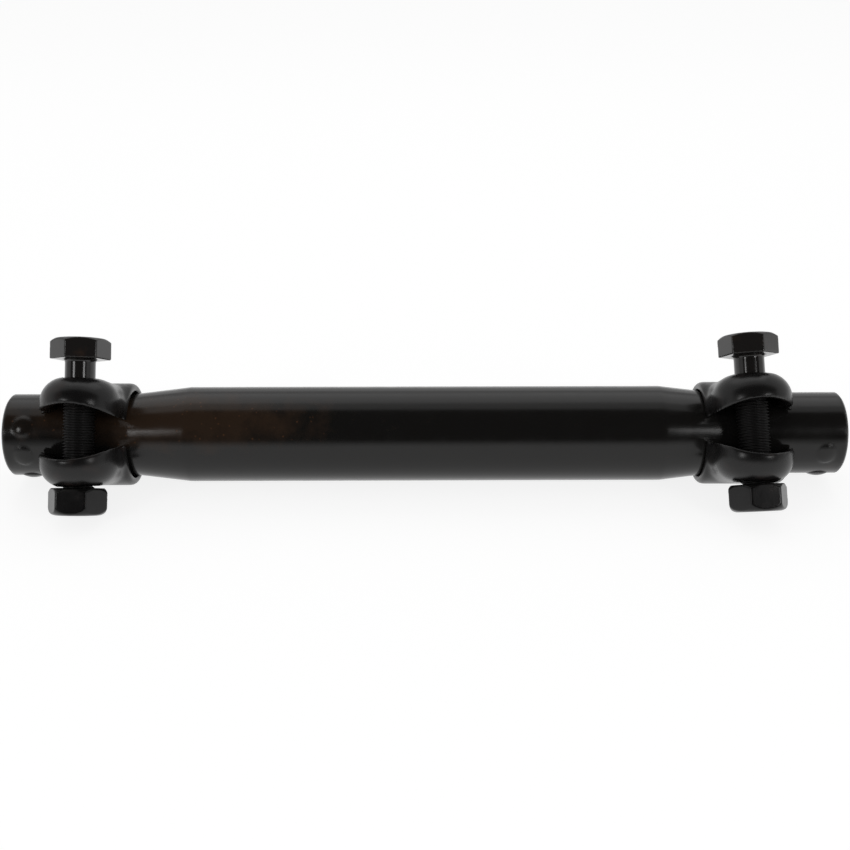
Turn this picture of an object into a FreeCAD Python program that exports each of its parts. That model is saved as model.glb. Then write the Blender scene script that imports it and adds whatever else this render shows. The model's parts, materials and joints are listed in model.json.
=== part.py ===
import FreeCAD
import Part
import math
import os

from FreeCAD import Vector

# Tie rod adjusting sleeve with its two clamps, in millimetres.
# X runs along the sleeve, +Z is up and -Y is the side that the clamp ears point to.
# The origin is on the sleeve's axis, half way along it.

ORIGIN = Vector(0, 0, 0)
AXIS_X = Vector(1, 0, 0)
AXIS_Y = Vector(0, 1, 0)
AXIS_Z = Vector(0, 0, 1)

# Sleeve: a steel tube, swaged down and threaded at both ends.
thread_radius = 10.0
neck_wall = 3.1
swage_step = 2.15
body_wall = 3.25
body_length = 151.0
taper_length = 18.0
neck_length = 39.5
thread_past_neck = 2.5
bore_taper_length = 9.0
mouth_chamfer = 1.2
rim_round = 0.7

# The slot that lets each threaded end close, on the side away from the ears.
slot_width = 2.6
slot_short_of_taper = 1.5
slot_angle = 205.0

# Round stops pressed up near each end, which keep a clamp on the neck.
stop_radius = 3.2
stop_height = 0.75
stop_setback = 6.5
stop_angles = {"left": (39.0, -4.0, -58.0), "right": (-4.0, -58.0)}

# Clamp: a band round the neck whose two ends are domed ears.
# Its inner edge reaches this far over the sleeve's taper.
clamp_over_taper = {"left": 0.2, "right": 5.6}
clamp_slack = 0.9
band_wall = 2.5
band_width = 27.2
band_edge_round = 1.8
band_bore_chamfer = 0.5
ear_inset = 1.3
ear_flat_radius = 4.4
ear_rise = 0.4
ear_wall = 3.2
ear_cant = 3.0
ear_slope = 0.55
seat_rise = 0.2
gap_height = 8.4
gap_end_height = 3.5
gap_peak_shift = 2.0
bolt_hole_slack = 0.95

# Bolt and nut: M10 with a fine thread, which is drawn as plain cylinders.
bolt_radius = 4.95
bolt_gap = 0.45
nut_clearance = 0.05
shank_relief = 0.3
shank_length = 13.0
bolt_length = 45.0
bolt_tip_chamfer = 0.8
shank_fillet = 0.6
across_flats = 16.0
head_height = 6.4
head_face_inset = 0.4
head_chamfer_angle = 30.0
head_lift = 5.5
nut_height = 8.4
nut_round = 3.0
nut_seat_chamfer = 1.2
bore_lead_in = 0.6
head_turn = {"left": 15.8, "right": -15.5}
nut_turn = {"left": 0.0, "right": 2.5}
bolt_lean = {"left": 0.7, "right": -2.4}

# How much further than the left clamp the right one is turned up.
clamp_turn_step = {"left": 0.0, "right": 2.5}

neck_radius = thread_radius + neck_wall
body_radius = neck_radius + swage_step
body_bore_radius = body_radius - body_wall
thread_length = neck_length + thread_past_neck
slot_length = neck_length - slot_short_of_taper
neck_start = body_length / 2 + taper_length
sleeve_end = neck_start + neck_length
clamp_bore_radius = neck_radius + clamp_slack
band_radius = clamp_bore_radius + band_wall
ear_radius = band_width / 2 - ear_inset
ear_height = band_radius + ear_rise
seat_height = ear_height + seat_rise
bolt_offset = neck_radius + bolt_gap + bolt_radius
bolt_hole_radius = bolt_radius + bolt_hole_slack
shank_radius = bolt_radius - shank_relief
across_corners = across_flats / math.cos(math.radians(30))
nut_bore_radius = bolt_radius + nut_clearance


def polyline_face(points):
    corners = [Vector(*point) for point in points]
    return Part.Face(Part.makePolygon(corners + corners[:1]))


def wire_face(*curves):
    return Part.Face(Part.Wire([curve.toShape() for curve in curves]))


def line(a, b):
    return Part.LineSegment(a, b)


def arc(a, through, b):
    return Part.Arc(a, through, b)


def quarter_arc(centre, radius, start, end):
    """Arc in the XZ plane between two angles, in degrees from +X towards +Z."""

    def at(angle):
        turn = math.radians(angle)
        return centre + Vector(radius * math.cos(turn), 0, radius * math.sin(turn))

    return arc(at(start), at((start + end) / 2), at(end))


def around_x(face):
    """Turn a face drawn in the XZ plane, with Z as its radius, about the sleeve's axis."""
    return face.revolve(ORIGIN, AXIS_X, 360)


def radial(angle, radius, x):
    """A point at this radius, angle degrees up from -Y."""
    turn = math.radians(angle)
    return Vector(x, -radius * math.cos(turn), radius * math.sin(turn))


def sleeve_tube():
    end = sleeve_end
    bore_step = end - thread_length
    half = [
        (0, body_radius),
        (body_length / 2, body_radius),
        (neck_start, neck_radius),
        (end - rim_round, neck_radius),
        (end, neck_radius - rim_round),
        (end, thread_radius + mouth_chamfer),
        (end - mouth_chamfer, thread_radius),
        (bore_step, thread_radius),
        (bore_step - bore_taper_length, body_bore_radius),
        (0, body_bore_radius),
    ]
    outline = [(x, 0, r) for x, r in half]
    mirrored = [(-x, 0, r) for x, r in reversed(half[1:-1])]
    tube = around_x(polyline_face(outline + mirrored))
    for side, name in ((-1, "left"), (1, "right")):
        tube = tube.fuse([pressed_stop(side * (end - stop_setback), a) for a in stop_angles[name]])
        tube = tube.cut(end_slot(side))
    return tube.removeSplitter()


def pressed_stop(x, angle):
    """A low round dome on the neck: a ball cut to the width of the stop."""
    ball_radius = (stop_radius**2 + stop_height**2) / (2 * stop_height)
    outward = radial(angle, 1, 0)
    foot = (neck_radius + thread_radius) / 2
    plug = Part.makeCylinder(stop_radius, neck_radius, radial(angle, foot, x), outward)
    ball = Part.makeSphere(ball_radius, radial(angle, neck_radius + stop_height - ball_radius, x))
    return plug.common(ball)


def end_slot(side):
    """A round-bottomed saw cut through one wall of a threaded end."""
    depth = body_radius * 2
    bottom = side * (sleeve_end - slot_length + slot_width / 2)
    open_end = side * (sleeve_end + slot_width)
    corner = Vector(min(bottom, open_end), -slot_width / 2, 0)
    cut = Part.makeBox(abs(open_end - bottom), slot_width, depth, corner)
    cut = cut.fuse(Part.makeCylinder(slot_width / 2, depth, Vector(bottom, 0, 0), AXIS_Z))
    cut.rotate(ORIGIN, AXIS_X, 90 - slot_angle)
    return cut


def band():
    """The clamp's ring, with well rounded outer edges and a lightly broken bore."""
    half = band_width / 2
    edge = band_edge_round
    low = clamp_bore_radius
    top = band_radius
    chamfer = band_bore_chamfer
    left_round = quarter_arc(Vector(-half + edge, 0, top - edge), edge, 180, 90)
    right_round = quarter_arc(Vector(half - edge, 0, top - edge), edge, 90, 0)
    section = wire_face(
        left_round,
        line(Vector(-half + edge, 0, top), Vector(half - edge, 0, top)),
        right_round,
        line(Vector(half, 0, top - edge), Vector(half, 0, low + chamfer)),
        line(Vector(half, 0, low + chamfer), Vector(half - chamfer, 0, low)),
        line(Vector(half - chamfer, 0, low), Vector(-half + chamfer, 0, low)),
        line(Vector(-half + chamfer, 0, low), Vector(-half, 0, low + chamfer)),
        line(Vector(-half, 0, low + chamfer), Vector(-half, 0, top - edge)),
    )
    return around_x(section)


def ear_form(inset):
    """The upper ear as a solid: a dome about the bolt, run back to the band under one profile.

    With an inset it is the hollow inside the ear's wall.
    """
    radius = ear_radius - inset
    height = ear_height - inset
    flat = ear_flat_radius
    shoulder = radius - flat
    centre_z = height - shoulder
    right = quarter_arc(Vector(flat, 0, centre_z), shoulder, 0, 90)
    left = quarter_arc(Vector(-flat, 0, centre_z), shoulder, 90, 180)
    half_section = wire_face(
        line(ORIGIN, Vector(radius, 0, 0)),
        line(Vector(radius, 0, 0), Vector(radius, 0, centre_z)),
        right,
        line(Vector(flat, 0, height), Vector(0, 0, height)),
        line(Vector(0, 0, height), ORIGIN),
    )
    whole_section = wire_face(
        line(Vector(-radius, 0, 0), Vector(radius, 0, 0)),
        line(Vector(radius, 0, 0), Vector(radius, 0, centre_z)),
        right,
        line(Vector(flat, 0, height), Vector(-flat, 0, height)),
        left,
        line(Vector(-radius, 0, centre_z), Vector(-radius, 0, 0)),
    )
    form = half_section.revolve(ORIGIN, AXIS_Z, 360)
    form = form.fuse(whole_section.extrude(Vector(0, bolt_offset, -ear_slope)))
    form.translate(Vector(0, -bolt_offset, 0))
    form.rotate(ORIGIN, AXIS_Y, -ear_cant)
    return form


def both_ears(form):
    return [form, form.mirror(ORIGIN, AXIS_Z)]


def eye_gap():
    """The gap between the ears, wide at the bolt and narrow at the band's edges."""
    half = band_width / 2
    reach = bolt_offset + 2 * ear_radius
    peak = Vector(gap_peak_shift, 0, gap_height)
    spread = half + gap_peak_shift
    far_height = gap_height - (gap_height - gap_end_height) * ((half - gap_peak_shift) / spread) ** 2
    inner = Vector(-half, 0, gap_end_height)
    outer = Vector(half, 0, far_height)

    def flipped(point):
        return Vector(point.x, 0, -point.z)

    face = wire_face(
        arc(inner, peak, outer),
        line(outer, flipped(outer)),
        arc(flipped(outer), flipped(peak), flipped(inner)),
        line(flipped(inner), inner),
    )
    return face.extrude(Vector(0, -reach, 0))


def clamp(name):
    body = band().fuse(both_ears(ear_form(0)))
    body = body.cut(both_ears(ear_form(ear_wall)))
    run = band_width + 2 * ear_radius
    bore = Part.makeCylinder(clamp_bore_radius, run, Vector(-run / 2, 0, 0), AXIS_X)
    body = body.cut(bore)
    body = body.cut(eye_gap())
    reach = ear_height + ear_radius
    hole = Part.makeCylinder(bolt_hole_radius, 2 * reach, Vector(0, -bolt_offset, -reach), AXIS_Z)
    body = body.cut(hole)
    trim = Part.makeBox(4 * ear_radius, 6 * ear_radius, ear_radius, Vector(-2 * ear_radius, -5 * ear_radius, 0))
    trim.translate(Vector(0, 0, seat_height))
    body = body.cut(both_ears(trim))
    body = body.removeSplitter()
    if name == "left":
        body.rotate(ORIGIN, AXIS_Y, 180)
    return on_sleeve(body, name)


def hexagon(height):
    """Hexagonal bar from z = 0 up, with one flat facing -Y."""
    corner = across_corners / 2
    points = []
    for step in range(6):
        turn = math.radians(60 * step)
        points.append((corner * math.cos(turn), corner * math.sin(turn), 0))
    return polyline_face(points).extrude(Vector(0, 0, height))


def turned_about_z(points):
    return polyline_face([(r, 0, z) for r, z in points]).revolve(ORIGIN, AXIS_Z, 360)


def bolt(name):
    corner = across_corners / 2
    face_radius = across_flats / 2 - head_face_inset
    drop = (corner - face_radius) * math.tan(math.radians(head_chamfer_angle))
    clear = 2 * corner
    crown = turned_about_z(
        [(0, 0), (clear, 0), (clear, head_height - drop), (corner, head_height - drop),
         (face_radius, head_height), (0, head_height)]
    )
    head = hexagon(head_height).common(crown)
    head.rotate(ORIGIN, AXIS_Z, head_turn[name])
    run_out = bolt_radius - shank_radius
    root = head_height / 2
    stem = turned_about_z(
        [(0, root), (shank_radius + shank_fillet, root), (shank_radius + shank_fillet, 0),
         (shank_radius, -shank_fillet), (shank_radius, -shank_length),
         (bolt_radius, -shank_length - run_out), (bolt_radius, -bolt_length + bolt_tip_chamfer),
         (bolt_radius - bolt_tip_chamfer, -bolt_length), (0, -bolt_length)]
    )
    solid = head.fuse(stem).removeSplitter()
    solid.translate(Vector(0, 0, seat_height + head_lift))
    return on_sleeve(at_bolt(solid, name), name)


def nut(name):
    corner = across_corners / 2
    face_radius = corner - nut_round
    seat_radius = across_flats / 2
    round_centre = Vector(face_radius, 0, -nut_height + nut_round)
    seat_drop = nut_seat_chamfer
    section = wire_face(
        line(Vector(nut_bore_radius + bore_lead_in, 0, 0), Vector(seat_radius, 0, 0)),
        line(Vector(seat_radius, 0, 0), Vector(corner, 0, -seat_drop)),
        line(Vector(corner, 0, -seat_drop), Vector(corner, 0, -nut_height + nut_round)),
        quarter_arc(round_centre, nut_round, 0, -90),
        line(Vector(face_radius, 0, -nut_height), Vector(nut_bore_radius + bore_lead_in, 0, -nut_height)),
        line(
            Vector(nut_bore_radius + bore_lead_in, 0, -nut_height),
            Vector(nut_bore_radius, 0, -nut_height + bore_lead_in),
        ),
        line(
            Vector(nut_bore_radius, 0, -nut_height + bore_lead_in),
            Vector(nut_bore_radius, 0, -bore_lead_in),
        ),
        line(Vector(nut_bore_radius, 0, -bore_lead_in), Vector(nut_bore_radius + bore_lead_in, 0, 0)),
    )
    blank = hexagon(nut_height)
    blank.translate(Vector(0, 0, -nut_height))
    solid = blank.common(section.revolve(ORIGIN, AXIS_Z, 360))
    solid.rotate(ORIGIN, AXIS_Z, nut_turn[name])
    solid.translate(Vector(0, 0, -nut_seat(name)))
    return on_sleeve(at_bolt(solid, name), name)


def nut_seat(name):
    """Depth of the nut's face below the sleeve's axis: a leaning nut stands off by its lean."""
    lean = abs(math.radians(bolt_lean[name]))
    return seat_height / math.cos(lean) + bolt_hole_radius * math.tan(lean)


def at_bolt(solid, name):
    """Lean a piece drawn on the Z axis and move it to the bolt's place in the ears."""
    solid.rotate(ORIGIN, AXIS_Y, bolt_lean[name])
    solid.translate(Vector(0, -bolt_offset, 0))
    return solid


def rest_turn():
    """Angle that the ears are turned up, so that band and nut lie on one flat surface."""
    across = bolt_offset - (across_corners / 2 - nut_round)
    down = nut_seat("left") + nut_height - nut_round
    reach = math.hypot(across, down)
    return math.degrees(math.atan2(down, across) - math.asin((band_radius - nut_round) / reach))


def clamp_x(name):
    """The clamp's middle: its band starts a little way over the sleeve's taper."""
    middle = neck_start - clamp_over_taper[name] + band_width / 2
    return -middle if name == "left" else middle


def on_sleeve(solid, name):
    solid.rotate(ORIGIN, AXIS_X, -rest_turn() - clamp_turn_step[name])
    solid.translate(Vector(clamp_x(name), 0, 0))
    return solid


def write_step(node, solid):
    assert solid.isValid(), node
    solid.exportStep(os.path.join("parts", node + ".step"))


os.makedirs("parts", exist_ok=True)
write_step("sleeve_tube", sleeve_tube())
for side_name in ("left", "right"):
    write_step(side_name + "_clamp", clamp(side_name))
    write_step(side_name + "_bolt", bolt(side_name))
    write_step(side_name + "_nut", nut(side_name))
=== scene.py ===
import bmesh
import bpy
import json
import math
import numpy as np
from mathutils import Matrix, Vector


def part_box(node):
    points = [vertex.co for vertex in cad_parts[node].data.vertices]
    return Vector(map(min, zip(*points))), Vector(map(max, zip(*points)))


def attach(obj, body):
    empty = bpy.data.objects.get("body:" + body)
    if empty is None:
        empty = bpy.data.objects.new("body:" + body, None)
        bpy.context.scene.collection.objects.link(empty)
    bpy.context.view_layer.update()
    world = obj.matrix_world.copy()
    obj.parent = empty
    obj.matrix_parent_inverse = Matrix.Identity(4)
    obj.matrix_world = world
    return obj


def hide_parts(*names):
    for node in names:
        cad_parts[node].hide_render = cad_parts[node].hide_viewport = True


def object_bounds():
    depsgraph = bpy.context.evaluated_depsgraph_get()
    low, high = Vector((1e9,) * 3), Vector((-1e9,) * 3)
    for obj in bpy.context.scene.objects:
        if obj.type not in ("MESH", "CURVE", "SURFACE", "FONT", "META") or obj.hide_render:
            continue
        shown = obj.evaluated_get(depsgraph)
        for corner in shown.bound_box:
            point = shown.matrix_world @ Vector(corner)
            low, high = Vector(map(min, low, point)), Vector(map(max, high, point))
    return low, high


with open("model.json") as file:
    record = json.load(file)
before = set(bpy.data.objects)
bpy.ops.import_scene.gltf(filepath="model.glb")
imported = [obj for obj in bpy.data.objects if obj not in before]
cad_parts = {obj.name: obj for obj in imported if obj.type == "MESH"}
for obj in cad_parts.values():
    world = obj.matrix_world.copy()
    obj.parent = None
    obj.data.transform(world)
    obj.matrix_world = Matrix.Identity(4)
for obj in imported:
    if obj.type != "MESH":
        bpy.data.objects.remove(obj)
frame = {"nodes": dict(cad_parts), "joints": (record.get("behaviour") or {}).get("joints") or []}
cad_low, cad_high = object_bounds()

MM = 0.001

# Camera
# It looks down at the sleeve from the side that the clamp ears point to, close enough that the two ends
# are seen at a slant, and it is rolled by a hair.
CAMERA_ELEVATION = math.radians(27.6)
CAMERA_DISTANCE = 392 * MM
CAMERA_AIM_ABOVE_AXIS = 2.74 * MM
CAMERA_ROLL = math.radians(0.15)
CAMERA_LENS = 51.2
CAMERA_SEES_FROM = 10 * MM
SENSOR_WIDTH = 36.0

toward_camera = Vector((0, -math.cos(CAMERA_ELEVATION), math.sin(CAMERA_ELEVATION)))
image_up = Vector((0, math.sin(CAMERA_ELEVATION), math.cos(CAMERA_ELEVATION)))
camera_data = bpy.data.cameras.new("camera")
camera_data.lens = CAMERA_LENS
camera_data.sensor_width = SENSOR_WIDTH
camera_data.clip_start = CAMERA_SEES_FROM
camera = bpy.data.objects.new("camera", camera_data)
camera.location = image_up * CAMERA_AIM_ABOVE_AXIS + toward_camera * CAMERA_DISTANCE
aim = toward_camera.to_track_quat("Z", "Y")
camera.rotation_euler = (aim.to_matrix() @ Matrix.Rotation(-CAMERA_ROLL, 3, "Z")).to_euler()
bpy.context.scene.collection.objects.link(camera)
bpy.context.scene.camera = camera
bpy.context.scene.view_settings.view_transform = "Standard"

# Studio
# A white table in a white room, lit by a long softbox above and behind the sleeve and by a small one at
# either side of the camera. A black flag hangs in front, whose reflection is the dark middle of every
# round black surface. The table shows white, with a soft shadow.
WHITE = "#ffffff"
FLAG_BLACK = "#050505"
# The table that light bounces from, and the one that is seen: a shaded grey, lifted to white.
TABLE_WHITE = "#e6e6e6"
TABLE_SHADED = "#8c8c8c"
TABLE_LIFT = 0.84
TABLE_SIZE = (24.0, 24.0)
# How bright the room is as light and in reflections. Behind the sleeve it is plain white.
ROOM_FILL = 0.46
ROOM_REFLECTED = 0.65
TOP_ELEVATION = 124
TOP_DISTANCE = 0.80
TOP_SIZE = (0.90, 0.50)
TOP_RADIANCE = 0.55
SIDE_AZIMUTH = 43
SIDE_ELEVATION = 25
SIDE_DISTANCE = 0.9
SIDE_SIZE = (0.18, 0.20)
SIDE_RADIANCE = 6.5
# The flag's lower and upper edges fade over these shares of its height.
FLAG_DISTANCE = 1.4
FLAG_ELEVATION = 46.5
FLAG_SIZE = (5.0, 2.64)
FLAG_FADE_BELOW = 0.12
FLAG_FADE_ABOVE = 0.07


def linear(code):
    """An sRGB hex colour as the linear colour that a shader takes."""
    channels = [int(code[i:i + 2], 16) / 255 for i in (1, 3, 5)]
    return [c / 12.92 if c <= 0.04045 else ((c + 0.055) / 1.055) ** 2.4 for c in channels] + [1.0]


def add(tree, kind, settings=None, **inputs):
    """Add a node, set its properties, and set or link its inputs.

    An input goes by its number, as _0 for the first, or by its name, with _ for a space.
    """
    node = tree.nodes.new(kind)
    for name, value in (settings or {}).items():
        setattr(node, name, value)
    for name, value in inputs.items():
        socket = node.inputs[int(name[1:])] if name[0] == "_" else node.inputs[name.replace("_", " ")]
        if isinstance(value, bpy.types.NodeSocket):
            tree.links.new(value, socket)
        else:
            socket.default_value = value
    return node


def new_material(name):
    """A material with an empty tree: (material, its tree, its output node)."""
    material = bpy.data.materials.new(name)
    material.use_nodes = True
    material.node_tree.nodes.clear()
    return material, material.node_tree, material.node_tree.nodes.new("ShaderNodeOutputMaterial")


def direction(azimuth, elevation):
    """Unit vector: azimuth in degrees from -Y towards +X, elevation in degrees up from level."""
    a = math.radians(azimuth)
    e = math.radians(elevation)
    return Vector((math.sin(a) * math.cos(e), -math.cos(a) * math.cos(e), math.sin(e)))


def softbox(name, towards, distance, size, radiance):
    """A rectangular lamp that faces the origin and looks this bright in a mirror."""
    data = bpy.data.lights.new(name, "AREA")
    data.shape = "RECTANGLE"
    data.size, data.size_y = size
    data.energy = radiance * math.pi * size[0] * size[1]
    lamp = bpy.data.objects.new(name, data)
    lamp.location = towards * distance
    lamp.rotation_euler = towards.to_track_quat("Z", "Y").to_euler()
    bpy.context.scene.collection.objects.link(lamp)


def stage_plane(name, centre, facing, size, material):
    """A flat rectangle of the studio, which isn't part of the object."""
    mesh = bpy.data.meshes.new(name)
    half_x, half_y = size[0] / 2, size[1] / 2
    corners = [(-half_x, -half_y), (half_x, -half_y), (half_x, half_y), (-half_x, half_y)]
    turn = facing.to_track_quat("Z", "Y")
    mesh.from_pydata([turn @ Vector((x, y, 0)) + centre for x, y in corners], [], [(0, 1, 2, 3)])
    mesh.materials.append(material)
    plane = bpy.data.objects.new(name, mesh)
    bpy.context.scene.collection.objects.link(plane)
    return plane


softbox("top_softbox", direction(0, TOP_ELEVATION), TOP_DISTANCE, TOP_SIZE, TOP_RADIANCE)
for side, azimuth in (("left", -SIDE_AZIMUTH), ("right", SIDE_AZIMUTH)):
    towards = direction(azimuth, SIDE_ELEVATION)
    softbox(side + "_softbox", towards, SIDE_DISTANCE, SIDE_SIZE, SIDE_RADIANCE)

world = bpy.data.worlds.new("room")
world.use_nodes = True
world.node_tree.nodes.clear()
room = world.node_tree
path = add(room, "ShaderNodeLightPath")
fill = add(room, "ShaderNodeBackground", Color=linear(WHITE), Strength=ROOM_FILL)
mirrored = add(room, "ShaderNodeBackground", Color=linear(WHITE), Strength=ROOM_REFLECTED)
behind = add(room, "ShaderNodeBackground", Color=linear(WHITE), Strength=1.0)
lit = add(room, "ShaderNodeMixShader", _0=path.outputs["Is Glossy Ray"], _1=fill.outputs[0],
          _2=mirrored.outputs[0])
mix = add(room, "ShaderNodeMixShader", _0=path.outputs["Is Camera Ray"], _1=lit.outputs[0],
          _2=behind.outputs[0])
add(room, "ShaderNodeOutputWorld", Surface=mix.outputs[0])
bpy.context.scene.world = world

# Matt white table top: it keeps the sleeve's shadow, and is white where no shadow falls.
table_material, tree, output = new_material("white_table")
path = add(tree, "ShaderNodeLightPath")
table_paint = add(tree, "ShaderNodeBsdfDiffuse", Color=linear(TABLE_WHITE))
shaded = add(tree, "ShaderNodeBsdfDiffuse", Color=linear(TABLE_SHADED))
lift = add(tree, "ShaderNodeEmission", Color=linear(WHITE), Strength=TABLE_LIFT)
lifted = add(tree, "ShaderNodeAddShader", _0=shaded.outputs[0], _1=lift.outputs[0])
seen = add(tree, "ShaderNodeMath", {"operation": "MAXIMUM"}, _0=path.outputs["Is Camera Ray"],
           _1=path.outputs["Is Glossy Ray"])
mix = add(tree, "ShaderNodeMixShader", _0=seen.outputs[0], _1=table_paint.outputs[0], _2=lifted.outputs[0])
tree.links.new(mix.outputs[0], output.inputs["Surface"])
stage_plane("table", Vector((0, 0, cad_low.z)), Vector((0, 0, 1)), TABLE_SIZE, table_material)

# Black cloth, thinning out at its lower and upper edge, so that its reflection ends softly.
flag_material, tree, output = new_material("black_flag")
black = add(tree, "ShaderNodeBsdfDiffuse", Color=linear(FLAG_BLACK))
nothing = add(tree, "ShaderNodeBsdfTransparent")
up_flag = add(tree, "ShaderNodeSeparateXYZ", Vector=add(tree, "ShaderNodeTexCoord").outputs["Generated"])
below = add(tree, "ShaderNodeMapRange", Value=up_flag.outputs["Z"], From_Min=0.0, From_Max=FLAG_FADE_BELOW)
above = add(tree, "ShaderNodeMapRange", Value=up_flag.outputs["Z"], From_Min=1.0,
            From_Max=1.0 - FLAG_FADE_ABOVE)
cover = add(tree, "ShaderNodeMath", {"operation": "MINIMUM"}, _0=below.outputs[0], _1=above.outputs[0])
mix = add(tree, "ShaderNodeMixShader", _0=cover.outputs[0], _1=nothing.outputs[0], _2=black.outputs[0])
tree.links.new(mix.outputs[0], output.inputs["Surface"])
towards = direction(0, FLAG_ELEVATION)
flag = stage_plane("black_flag", towards * FLAG_DISTANCE, -towards, FLAG_SIZE, flag_material)
flag.visible_camera = False
flag.visible_diffuse = False
flag.visible_shadow = False

# Sleeve tube
# Drawn steel tube, swaged down at both ends, threaded inside with opposite hands and sawn open along one
# side of each end. It is blackened with an oiled phosphate, which gives a near-black satin sheen with faint
# lengthwise draw lines, and it is stained brown near the left end, with small rusty flecks.
TUBE_BLACK = "#181716"
STAIN_BROWN = "#30241b"
FLECK_RUST = "#4a3222"
COATING_IOR = 1.4
STAIN_CENTRE = (-84 * MM, -10 * MM, 10 * MM)
STAIN_REACH = (58 * MM, 12 * MM, 9 * MM)
MOTTLE = 7 * MM
GRAIN = 0.7 * MM
DRAW_LINE = 0.5 * MM
FLECK = 2.2 * MM
SHOULDER_ROUND = 1.5 * MM
# The mottle's noise value where brown starts and where it is full, and how far a full stain lowers both.
BROWN_FROM, BROWN_FULL = 0.72, 0.95
BROWN_LOWERED = 0.3
# The stain's distance, in reaches less noise times ragged, where it starts and where it is full.
STAIN_RAGGED = 1.4
STAIN_FROM, STAIN_FULL = 0.35, -0.25
# The share of a fleck's cell where its colour starts and is full, and the stain at which all flecks show.
FLECK_FROM, FLECK_FULL = 0.17, 0.07
FLECKS_ALL_SHOW = 0.5
# How long draw lines are, as the factor that shrinks their noise along X.
DRAW_STRETCH = 0.03
# The noise values between which roughness goes from a little less than its middle to a little more.
GLOSS_FROM, GLOSS_TO = 0.3, 0.7
GLOSSIER, DULLER = 0.03, 0.05
SWELL_HEIGHT, SWELL_STRENGTH = 0.06 * MM, 0.35
GRAIN_HEIGHT, GRAIN_STRENGTH = 0.012 * MM, 0.25
EDGE_SAMPLES = 6


def blackened(name, black, brown, roughness, stained, ior=COATING_IOR, tube_marks=False):
    """Oiled phosphate on steel: near-black, clouded with brown, mottled in its gloss.

    stained, from 0 to 1, is how much of it is clouded. tube_marks adds the tube's stain, its flecks and the
    look of rounded edges.
    """
    material, tree, output = new_material(name)
    position = add(tree, "ShaderNodeTexCoord").outputs["Object"]
    cloud = add(tree, "ShaderNodeTexNoise", Vector=position, Scale=1 / MOTTLE, Detail=4.0, Roughness=0.6)
    patch = add(tree, "ShaderNodeMapRange", Value=cloud.outputs["Fac"],
                From_Min=BROWN_FROM - BROWN_LOWERED * stained, From_Max=BROWN_FULL - BROWN_LOWERED * stained)
    share = patch
    if tube_marks:
        away = add(tree, "ShaderNodeVectorMath", {"operation": "SUBTRACT"}, _0=position, _1=STAIN_CENTRE)
        away = add(tree, "ShaderNodeVectorMath", {"operation": "DIVIDE"}, _0=away.outputs[0], _1=STAIN_REACH)
        far = add(tree, "ShaderNodeVectorMath", {"operation": "LENGTH"}, _0=away.outputs[0])
        ragged = add(tree, "ShaderNodeMath", {"operation": "MULTIPLY_ADD"}, _0=cloud.outputs["Fac"],
                     _1=-STAIN_RAGGED, _2=far.outputs["Value"])
        near = add(tree, "ShaderNodeMapRange", Value=ragged.outputs[0], From_Min=STAIN_FROM,
                   From_Max=STAIN_FULL)
        share = add(tree, "ShaderNodeMath", {"operation": "MAXIMUM"}, _0=patch.outputs[0], _1=near.outputs[0])
    colour = add(tree, "ShaderNodeMix", {"data_type": "RGBA"}, _0=share.outputs[0], _6=linear(black),
                 _7=linear(brown))
    swell = add(tree, "ShaderNodeBump", Height=cloud.outputs["Fac"], Strength=SWELL_STRENGTH,
                Distance=SWELL_HEIGHT)
    if tube_marks:
        cells = add(tree, "ShaderNodeTexVoronoi", Vector=position, Scale=1 / FLECK)
        spot = add(tree, "ShaderNodeMapRange", Value=cells.outputs["Distance"], From_Min=FLECK_FROM,
                   From_Max=FLECK_FULL)
        few = add(tree, "ShaderNodeMapRange", Value=near.outputs[0], From_Min=0.0, From_Max=FLECKS_ALL_SHOW)
        rust = add(tree, "ShaderNodeMath", {"operation": "MULTIPLY"}, _0=spot.outputs[0], _1=few.outputs[0])
        colour = add(tree, "ShaderNodeMix", {"data_type": "RGBA"}, _0=rust.outputs[0], _6=colour.outputs[2],
                     _7=linear(FLECK_RUST))
        rounded = add(tree, "ShaderNodeBevel", {"samples": EDGE_SAMPLES}, Radius=SHOULDER_ROUND)
        tree.links.new(rounded.outputs[0], swell.inputs["Normal"])
    grain = add(tree, "ShaderNodeTexNoise", Vector=position, Scale=1 / GRAIN, Detail=3.0, Roughness=0.6)
    along = add(tree, "ShaderNodeMapping", Vector=position, Scale=(DRAW_STRETCH, 1.0, 1.0))
    lines = add(tree, "ShaderNodeTexNoise", Vector=along.outputs[0], Scale=1 / DRAW_LINE, Detail=2.0)
    texture = add(tree, "ShaderNodeMath", {"operation": "ADD"}, _0=grain.outputs["Fac"],
                  _1=lines.outputs["Fac"])
    gloss = add(tree, "ShaderNodeMapRange", Value=cloud.outputs["Fac"], From_Min=GLOSS_FROM,
                From_Max=GLOSS_TO, To_Min=roughness - GLOSSIER, To_Max=roughness + DULLER)
    bump = add(tree, "ShaderNodeBump", Height=texture.outputs[0], Strength=GRAIN_STRENGTH,
               Distance=GRAIN_HEIGHT, Normal=swell.outputs[0])
    coat = add(tree, "ShaderNodeBsdfPrincipled", Base_Color=colour.outputs[2], Roughness=gloss.outputs[0],
               IOR=ior, Normal=bump.outputs[0])
    tree.links.new(coat.outputs[0], output.inputs["Surface"])
    return material


# Satin black with draw lines, the brown stain and its flecks.
tube_steel = blackened("blackened_drawn_tube", TUBE_BLACK, STAIN_BROWN, 0.17, 0.2, tube_marks=True)
tube_mesh = frame["nodes"]["sleeve_tube"].data
tube_mesh.materials.clear()
tube_mesh.materials.append(tube_steel)

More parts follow.
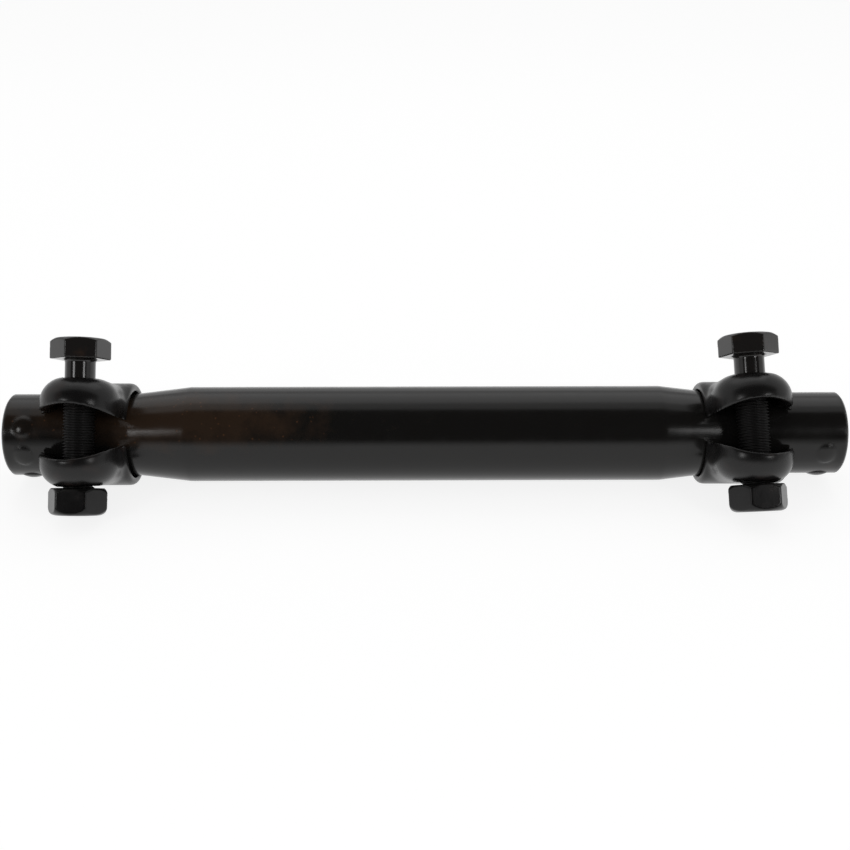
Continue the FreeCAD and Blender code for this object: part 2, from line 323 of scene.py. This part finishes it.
# The sleeve's own threads, M20 x 1.5, cut in the last 42 mm of each end, left-handed at the left. Each is
# one ridge round the bore, open where the slot crosses it. The bolts' threads are made the same way.
# Foot and crest of a ridge are shares of its pitch, and its foot is sunk a little into the steel.
THREAD_FOOT = 0.86
THREAD_CREST = 0.16
THREAD_SUNK = 0.03 * MM
END_THREAD_BORE = 10.0 * MM
END_THREAD_CREST = 9.19 * MM
END_THREAD_PITCH = 1.5 * MM
END_THREAD_TURNS = 26
END_THREAD_SEGMENTS = 48
SLOT_ANGLE = math.radians(205)
SLOT_HALF_WIDTH = 1.3 * MM
SLOT_DEPTH_FROM_END = 38 * MM
MOUTH = 1.8 * MM


def thread_group(name):
    """Geometry nodes for one trapezoid ridge that winds up round Z from z = 0, left- or right-handed."""
    tree = bpy.data.node_groups.new(name, "GeometryNodeTree")
    for label, kind in (("Root radius", "Float"), ("Crest radius", "Float"), ("Pitch", "Float"),
                        ("Turns", "Float"), ("Segments", "Int"), ("Right-handed", "Bool"),
                        ("Material", "Material")):
        tree.interface.new_socket(label, in_out="INPUT", socket_type="NodeSocket" + kind)
    tree.interface.new_socket("Thread", in_out="OUTPUT", socket_type="NodeSocketGeometry")
    given = add(tree, "NodeGroupInput").outputs
    root, top, pitch = given["Root radius"], given["Crest radius"], given["Pitch"]
    total = add(tree, "ShaderNodeMath", {"operation": "ADD"}, _0=root, _1=top)
    middle = add(tree, "ShaderNodeMath", {"operation": "MULTIPLY"}, _0=total.outputs[0], _1=0.5)
    depth = add(tree, "ShaderNodeMath", {"operation": "SUBTRACT"}, _0=top, _1=root)
    rise = add(tree, "ShaderNodeMath", {"operation": "MULTIPLY"}, _0=pitch, _1=given["Turns"])
    foot = add(tree, "ShaderNodeMath", {"operation": "MULTIPLY"}, _0=pitch, _1=THREAD_FOOT)
    crest = add(tree, "ShaderNodeMath", {"operation": "MULTIPLY"}, _0=pitch, _1=THREAD_CREST)
    spiral = add(tree, "GeometryNodeCurveSpiral", Resolution=given["Segments"], Rotations=given["Turns"],
                 Start_Radius=middle.outputs[0], End_Radius=middle.outputs[0], Height=rise.outputs[0],
                 Reverse=given["Right-handed"])
    upright = add(tree, "GeometryNodeSetCurveNormal", {"mode": "Z_UP"}, Curve=spiral.outputs[0])
    section = add(tree, "GeometryNodeCurvePrimitiveQuadrilateral", {"mode": "TRAPEZOID"},
                  Height=depth.outputs[0], Bottom_Width=foot.outputs[0], Top_Width=crest.outputs[0],
                  Offset=0.0)
    # The crest has to point away from the foot on either hand, so the section turns with the hand.
    quarter = add(tree, "GeometryNodeSwitch", {"input_type": "FLOAT"}, Switch=given["Right-handed"],
                  _1=math.pi / 2, _2=-math.pi / 2)
    turn = add(tree, "ShaderNodeCombineXYZ", Z=quarter.outputs[0])
    stood = add(tree, "GeometryNodeTransform", Geometry=section.outputs[0], Rotation=turn.outputs[0])
    ridge = add(tree, "GeometryNodeCurveToMesh", Curve=upright.outputs[0], Profile_Curve=stood.outputs[0],
                Fill_Caps=True)
    flat = add(tree, "GeometryNodeSetShadeSmooth", Geometry=ridge.outputs[0], Shade_Smooth=False)
    real = add(tree, "GeometryNodeRealizeInstances", Geometry=flat.outputs[0])
    painted = add(tree, "GeometryNodeSetMaterial", Geometry=real.outputs[0], Material=given["Material"])
    add(tree, "NodeGroupOutput", Thread=painted.outputs[0])
    return tree


def run_nodes(name, tree, values):
    """The mesh that a geometry node tree makes with these inputs."""
    holder = bpy.data.objects.new(name + "_source", bpy.data.meshes.new(name + "_source"))
    bpy.context.scene.collection.objects.link(holder)
    modifier = holder.modifiers.new("thread", "NODES")
    modifier.node_group = tree
    for socket in tree.interface.items_tree:
        if socket.in_out == "INPUT":
            modifier[socket.identifier] = values[socket.name]
    mesh = bpy.data.meshes.new_from_object(holder.evaluated_get(bpy.context.evaluated_depsgraph_get()))
    bpy.data.objects.remove(holder)
    mesh.name = name
    return mesh


thread_nodes = thread_group("thread_ridge")
tube_low, tube_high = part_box("sleeve_tube")
slot_towards = Vector((0, -math.cos(SLOT_ANGLE), math.sin(SLOT_ANGLE)))
slot_across = slot_towards.cross(Vector((1, 0, 0)))
for side, end, inward in (("left", tube_low[0], 1), ("right", tube_high[0], -1)):
    values = {"Root radius": END_THREAD_BORE + THREAD_SUNK, "Crest radius": END_THREAD_CREST,
              "Pitch": END_THREAD_PITCH, "Turns": END_THREAD_TURNS, "Segments": END_THREAD_SEGMENTS,
              "Right-handed": side == "right", "Material": tube_steel}
    mesh = run_nodes(side + "_end_thread", thread_nodes, values)
    lie_down = Vector((inward, 0, 0)).to_track_quat("Z", "Y").to_matrix().to_4x4()
    mesh.transform(Matrix.Translation((end + inward * MOUTH, 0, 0)) @ lie_down)
    cut = bmesh.new()
    cut.from_mesh(mesh)
    gone = []
    for face in cut.faces:
        middle = face.calc_center_median()
        in_slot = middle.dot(slot_towards) > 0 and abs(middle.dot(slot_across)) < SLOT_HALF_WIDTH
        if in_slot and abs(middle.x - end) < SLOT_DEPTH_FROM_END:
            gone.append(face)
    bmesh.ops.delete(cut, geom=gone, context="FACES")
    bmesh.ops.holes_fill(cut, edges=[e for e in cut.edges if e.is_boundary], sides=4)
    bmesh.ops.recalc_face_normals(cut, faces=cut.faces)
    cut.to_mesh(mesh)
    cut.free()
    thread = bpy.data.objects.new(side + "_end_thread", mesh)
    bpy.context.scene.collection.objects.link(thread)
    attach(thread, "sleeve")

# Clamps
# Each is forged in one piece, a band with two hollow domed ears that flow into it, with soft lips round the
# gap, and blackened like the tube. Its rough forged skin is a little duller and browner.
CLAMP_VOXEL = 0.42 * MM
# Points this near to the bore and the bolt holes stay where they are, so that what fits there still does.
CLAMP_BORE = 14.0 * MM
BOLT_HOLE = 5.9 * MM
KEPT_MARGIN = 0.45 * MM
# Filling of the corners between ears and band, on the outside alone, and then smoothing of every edge.
FLOW_STEPS = 110
LIP_STEPS = 9
OUTSIDE_FACING = -0.15
SAME_POINT = 0.001 * MM


def remeshed(node, voxel):
    """A copy of a solid's mesh with even small faces, for softening its edges."""
    source = frame["nodes"][node].data.copy()
    merged = bmesh.new()
    merged.from_mesh(source)
    bmesh.ops.remove_doubles(merged, verts=merged.verts, dist=SAME_POINT)
    merged.to_mesh(source)
    merged.free()
    holder = bpy.data.objects.new(node + "_source", source)
    bpy.context.scene.collection.objects.link(holder)
    even = holder.modifiers.new("even", "REMESH")
    even.mode = "VOXEL"
    even.voxel_size = voxel
    even.use_smooth_shade = True
    mesh = bpy.data.meshes.new_from_object(holder.evaluated_get(bpy.context.evaluated_depsgraph_get()))
    bpy.data.objects.remove(holder)
    return mesh


def soften(mesh, steps, free=None, fill_only=False):
    """Move points half way to their neighbours' middle. Only the free ones move, or all, if none are named.

    With fill_only they move only outwards, which fills inner corners and leaves the rest.
    """
    count = len(mesh.vertices)
    free = np.ones(count) if free is None else free.astype(float)
    pairs = np.empty(2 * len(mesh.edges), np.int64)
    mesh.edges.foreach_get("vertices", pairs)
    starts = np.concatenate([pairs[0::2], pairs[1::2]])
    ends = np.concatenate([pairs[1::2], pairs[0::2]])
    links = np.bincount(starts, minlength=count)
    for _ in range(steps):
        here, out = points_and_normals(mesh)
        middle = np.stack([np.bincount(starts, here[ends, k], count) for k in range(3)], 1) / links[:, None]
        move = (middle - here) * 0.5
        if fill_only:
            move = np.maximum((move * out).sum(1), 0)[:, None] * out
        mesh.vertices.foreach_set("co", (here + move * free[:, None]).ravel())
        mesh.update()


def points_and_normals(mesh):
    """A mesh's points and their normals, as two arrays with a row for each point."""
    points = np.empty(3 * len(mesh.vertices))
    normals = np.empty(3 * len(mesh.vertices), np.float32)
    mesh.vertices.foreach_get("co", points)
    mesh.vertex_normals.foreach_get("vector", normals)
    return points.reshape(-1, 3), normals.reshape(-1, 3)


def away_from(line_point, line_axis, points):
    """For each point, its offset straight out from a line."""
    offset = points - np.array(line_point)
    axis = np.array(line_axis)
    return offset - (offset @ axis)[:, None] * axis


def bolt_line(side):
    """A point on the bolt's centre line at its foot, and the line's direction up to the head."""
    nut_turn = next(j for j in frame["joints"] if j["name"] == side + "_nut_turn")
    return nut_turn["pos_m"], nut_turn["axis"]


def place(name, mesh, node, slot, *materials):
    """Put a finished mesh in the scene in place of a CAD node, on the body of the same name."""
    mesh.name = name
    mesh.materials.clear()
    for material in materials:
        mesh.materials.append(material)
    piece = bpy.data.objects.new(name, mesh)
    bpy.context.scene.collection.objects.link(piece)
    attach(piece, node)
    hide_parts(node)


# Dull black with a brown cast, from the rough forged skin.
clamp_steel = blackened("blackened_forged_clamp", "#151414", "#2a2220", 0.27, 0.6)
for side in ("left", "right"):
    node = side + "_clamp"
    mesh = remeshed(node, CLAMP_VOXEL)
    points, normals = points_and_normals(mesh)
    from_sleeve = np.linalg.norm(away_from((0, 0, 0), (1, 0, 0), points), axis=1)
    off_bolt = away_from(*bolt_line(side), points)
    from_bolt = np.linalg.norm(off_bolt, axis=1)
    free = (from_sleeve > CLAMP_BORE + KEPT_MARGIN) & (from_bolt > BOLT_HOLE + KEPT_MARGIN)
    outside = (normals * off_bolt).sum(1) / from_bolt > OUTSIDE_FACING
    soften(mesh, FLOW_STEPS, free & outside, fill_only=True)
    soften(mesh, LIP_STEPS, free)
    place(side + "_forged_clamp", mesh, node, "blackened_clamp", clamp_steel)

# Bolts and nuts
# M10 x 1 hexagon bolts, forged and rolled, with a short plain shank under the head, and domed nuts. They
# are phosphated black, glossy with oil but dull in the threads. Heads and nuts have lightly broken corners.
BOLT_VOXEL = 0.26 * MM
NUT_VOXEL = 0.24 * MM
CORNER_STEPS = 3
BOLT_PITCH = 1.0 * MM
BOLT_ROOT = 4.40 * MM
BOLT_CREST = 4.95 * MM
BOLT_SEGMENTS = 40
BOLT_TIP_CHAMFER = 0.8 * MM
HEAD_HEIGHT = 6.4 * MM
PLAIN_SHANK = 13.4 * MM
# The last part of a turn is left off, so that the ridge stays below the plain shank.
TURN_LEFT_OFF = 0.5
ON_AXIS = 1e-9

# Smooth black that mirrors the softboxes as thin stripes on the shank.
bolt_steel = blackened("phosphated_bolt", "#201e1d", "#32261f", 0.13, 0.5, 1.48)
# Matt black, so that the ridges show as faint lines.
thread_steel = blackened("dull_rolled_thread", "#191818", "#221e1c", 0.42, 0.4, 1.3)
# Deeper black with a satin sheen.
nut_steel = blackened("phosphated_nut", "#0f0e0e", "#211d1b", 0.22, 0.4, 1.36)
for side in ("left", "right"):
    foot, axis = bolt_line(side)
    mesh = remeshed(side + "_bolt", BOLT_VOXEL)
    soften(mesh, CORNER_STEPS)
    points, _ = points_and_normals(mesh)
    height = (points - np.array(foot)) @ np.array(axis)
    out = away_from(foot, axis, points)
    tip = height.min()
    thread_top = height.max() - HEAD_HEIGHT - PLAIN_SHANK
    narrow = np.minimum(1.0, BOLT_ROOT / np.maximum(np.linalg.norm(out, axis=1), ON_AXIS))
    narrow = np.where(height < thread_top, narrow, 1.0)
    mesh.vertices.foreach_set("co", (points + out * (narrow - 1)[:, None]).ravel())
    mesh.update()
    length = thread_top - tip - BOLT_TIP_CHAMFER
    values = {"Root radius": BOLT_ROOT - THREAD_SUNK, "Crest radius": BOLT_CREST, "Pitch": BOLT_PITCH,
              "Turns": length / BOLT_PITCH - TURN_LEFT_OFF, "Segments": BOLT_SEGMENTS, "Right-handed": True,
              "Material": thread_steel}
    ridge = run_nodes(side + "_bolt_ridge", thread_nodes, values)
    start = Vector(foot) + Vector(axis) * (tip + BOLT_TIP_CHAMFER)
    stand_up = Vector(axis).to_track_quat("Z", "Y").to_matrix().to_4x4()
    ridge.transform(Matrix.Translation(start) @ stand_up)
    centres = np.empty(3 * len(mesh.polygons))
    mesh.polygons.foreach_get("center", centres)
    dull = (centres.reshape(-1, 3) - np.array(foot)) @ np.array(axis) < thread_top
    dull = np.concatenate([dull, np.ones(len(ridge.polygons), bool)])
    whole = bmesh.new()
    whole.from_mesh(mesh)
    whole.from_mesh(ridge)
    whole.to_mesh(mesh)
    whole.free()
    place(side + "_threaded_bolt", mesh, side + "_bolt", "blackened_bolt", bolt_steel, thread_steel)
    mesh.polygons.foreach_set("material_index", dull.astype(np.int32))
    mesh.update()

    mesh = remeshed(side + "_nut", NUT_VOXEL)
    soften(mesh, CORNER_STEPS)
    place(side + "_domed_nut", mesh, side + "_nut", "blackened_nut", nut_steel)
